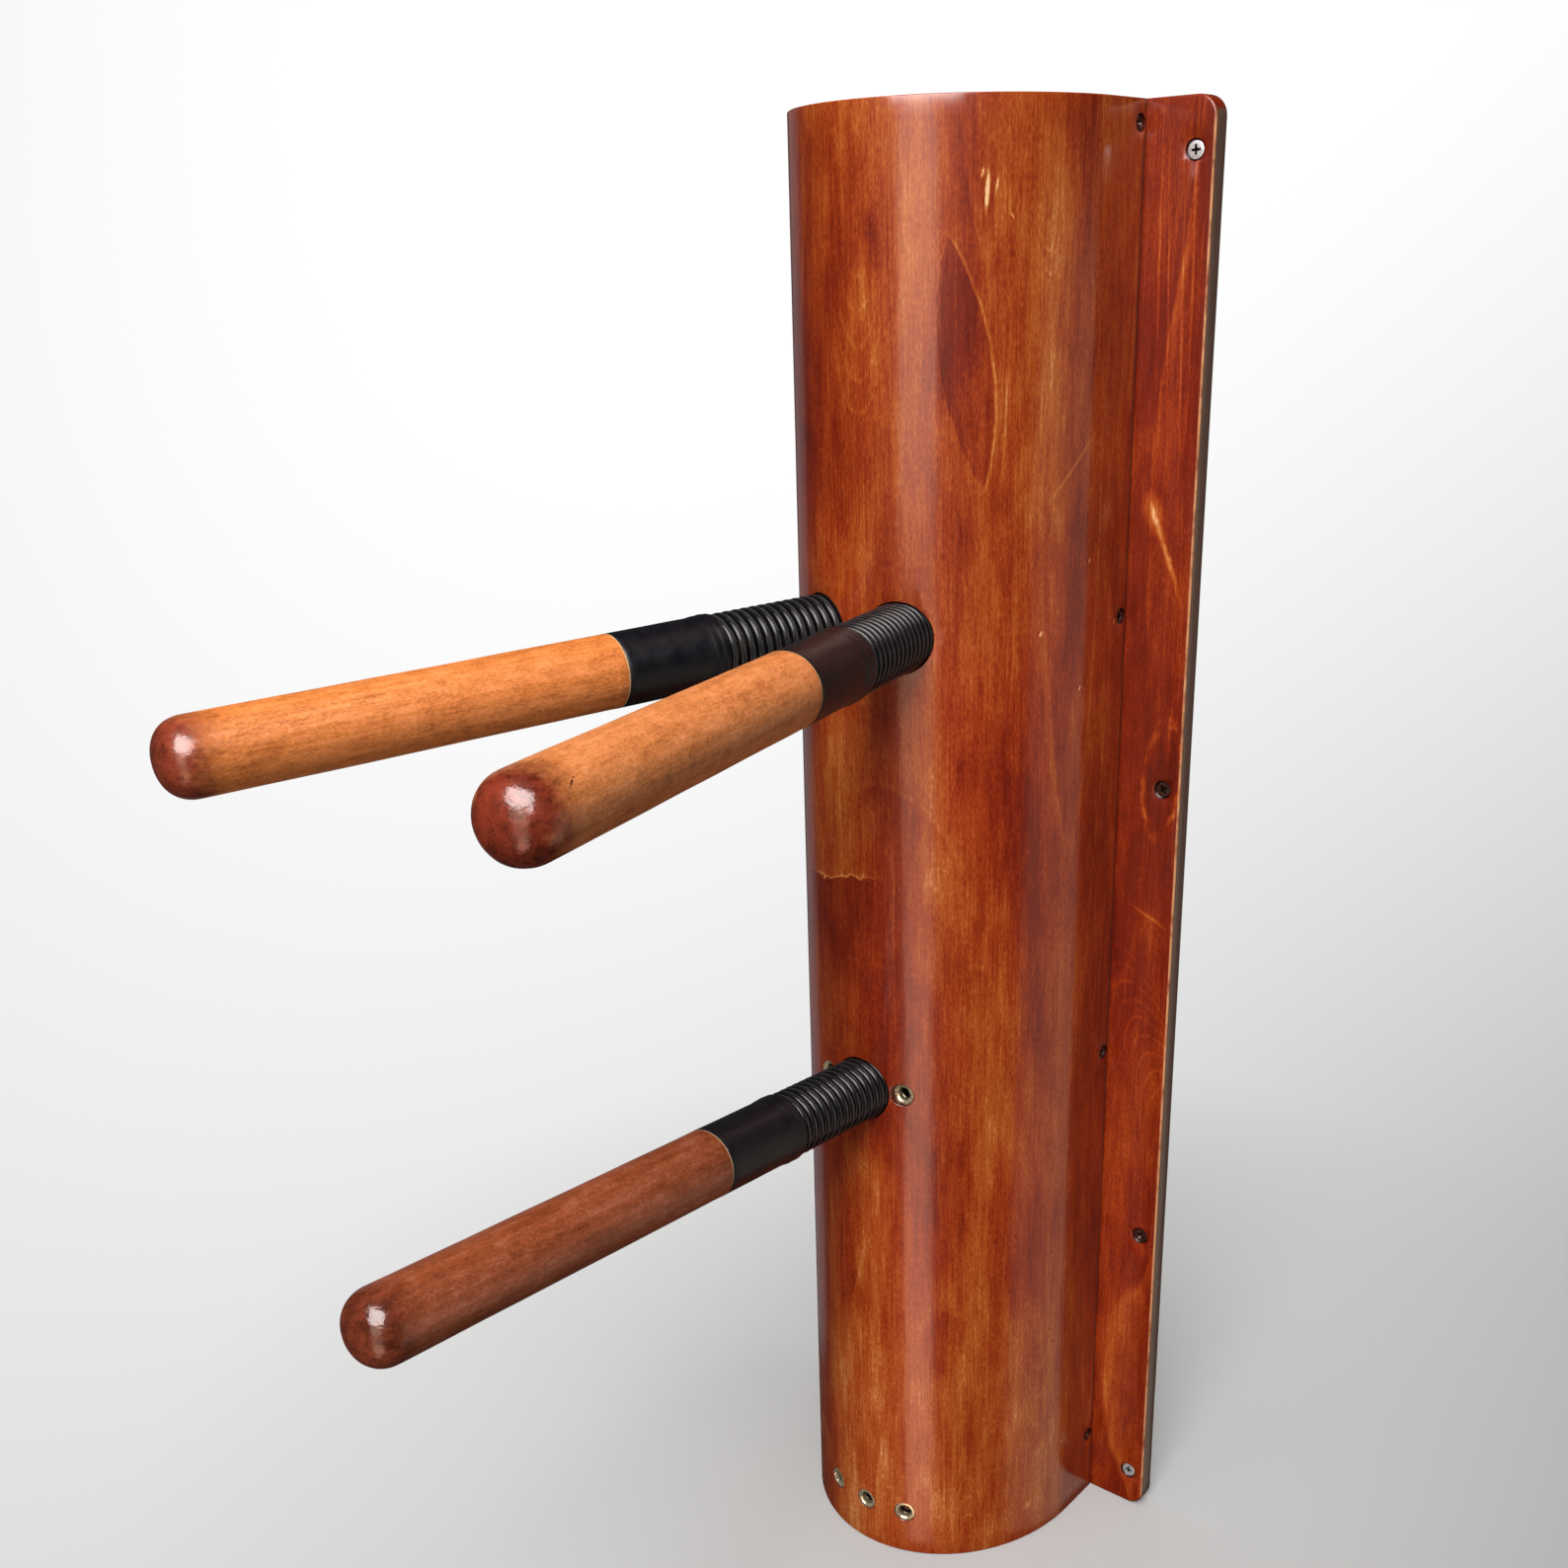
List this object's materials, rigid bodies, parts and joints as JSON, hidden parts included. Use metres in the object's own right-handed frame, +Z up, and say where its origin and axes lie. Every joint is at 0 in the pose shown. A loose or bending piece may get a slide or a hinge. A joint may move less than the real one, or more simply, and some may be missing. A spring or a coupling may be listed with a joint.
{
  "type": "wall-mounted wing chun dummy with sprung arms",
  "caption": "Wall-mounted wooden training dummy: half-round plywood trunk on a flat backing board, with straight wooden arms that flex on coil springs.",
  "frame": {"origin": "middle of the backing board's back face, which lies against the wall", "axes": "+Z up along the trunk, +Y into the wall, +X to the right of somebody who faces the trunk"},
  "size_m": [0.2908, 0.5807, 0.975],
  "materials": {
    "trunk_wood": "red-brown stained birch plywood under gloss varnish",
    "arm_wood": "orange-brown stained turned wood, satin varnish, darker glossy tip",
    "inner_wood": "bare sawn wood",
    "spring_steel": "black oxide spring steel with worn crests",
    "shrink_sleeve": "black shrink sleeve, satin",
    "zinc_steel": "bright zinc plate",
    "varnished_screw": "steel screw under dark varnish",
    "insert_brass": "bright brass"
  },
  "bodies": {
    "trunk": {"trunk_shell": "trunk_wood", "back_board": "trunk_wood", "side_rail_left": "inner_wood", "side_rail_right": "inner_wood", "top_former": "inner_wood", "foot_block": "inner_wood", "upper_arm_block": "inner_wood", "lower_arm_block": "inner_wood", "flange_screw_left_1": "zinc_steel", "flange_screw_left_2": "varnished_screw", "flange_screw_left_3": "varnished_screw", "flange_screw_left_4": "zinc_steel", "side_screw_left_1": "varnished_screw", "side_screw_left_2": "varnished_screw", "side_screw_left_3": "varnished_screw", "side_screw_left_4": "varnished_screw", "flange_screw_right_1": "zinc_steel", "flange_screw_right_2": "varnished_screw", "flange_screw_right_3": "varnished_screw", "flange_screw_right_4": "zinc_steel", "side_screw_right_1": "varnished_screw", "side_screw_right_2": "varnished_screw", "side_screw_right_3": "varnished_screw", "side_screw_right_4": "varnished_screw", "insert_foot_left": "insert_brass", "insert_foot_middle": "insert_brass", "insert_foot_right": "insert_brass", "insert_arm_left": "insert_brass", "insert_arm_right": "insert_brass", "upper_left_root_plug": "inner_wood", "upper_left_root_bolt": "zinc_steel", "upper_left_washer": "zinc_steel", "upper_right_root_plug": "inner_wood", "upper_right_root_bolt": "zinc_steel", "upper_right_washer": "zinc_steel", "lower_root_plug": "inner_wood", "lower_root_bolt": "zinc_steel", "lower_washer": "zinc_steel"},
    "upper_left_coil": {"upper_left_spring": "spring_steel"},
    "upper_left_arm": {"upper_left_handle": "arm_wood", "upper_left_sleeve": "shrink_sleeve"},
    "upper_right_coil": {"upper_right_spring": "spring_steel"},
    "upper_right_arm": {"upper_right_handle": "arm_wood", "upper_right_sleeve": "shrink_sleeve"},
    "lower_coil": {"lower_spring": "spring_steel"},
    "lower_arm": {"lower_handle": "arm_wood", "lower_sleeve": "shrink_sleeve"}
  },
  "joints": [
    {"name": "upper_left_sway", "type": "hinge", "parent": "trunk", "child": "upper_left_coil", "pos_m": [-0.03332, -0.1809, 0.19209], "axis": [-0.0054, -0.022, 0.9997], "range_deg": [-20, 12], "stiffness_Nm_per_rad": 8, "deforming": ["upper_left_spring"]},
    {"name": "upper_left_lift", "type": "hinge", "parent": "upper_left_coil", "child": "upper_left_arm", "pos_m": [-0.04101, -0.21195, 0.19137], "axis": [-0.9707, 0.2402, 0], "range_deg": [-20, 20], "stiffness_Nm_per_rad": 8, "springref_deg": 3.91, "deforming": ["upper_left_spring"]},
    {"name": "upper_right_sway", "type": "hinge", "parent": "trunk", "child": "upper_right_coil", "pos_m": [0.03332, -0.1809, 0.19269], "axis": [-0.0025, 0.0102, 0.9999], "range_deg": [-12, 20], "stiffness_Nm_per_rad": 8, "deforming": ["upper_right_spring"]},
    {"name": "upper_right_lift", "type": "hinge", "parent": "upper_right_coil", "child": "upper_right_arm", "pos_m": [0.04101, -0.21196, 0.19302], "axis": [-0.9707, -0.2402, 0], "range_deg": [-20, 20], "stiffness_Nm_per_rad": 8, "springref_deg": 3.92, "deforming": ["upper_right_spring"]},
    {"name": "lower_sway", "type": "hinge", "parent": "trunk", "child": "lower_coil", "pos_m": [0, -0.18646, -0.11287], "axis": [0, 0.0628, 0.998], "range_deg": [-20, 20], "stiffness_Nm_per_rad": 8, "deforming": ["lower_spring"]},
    {"name": "lower_lift", "type": "hinge", "parent": "lower_coil", "child": "lower_arm", "pos_m": [0, -0.2184, -0.11086], "axis": [-1, 0, 0], "range_deg": [-20, 20], "stiffness_Nm_per_rad": 8, "springref_deg": 3.91, "deforming": ["lower_spring"]}
  ]
}
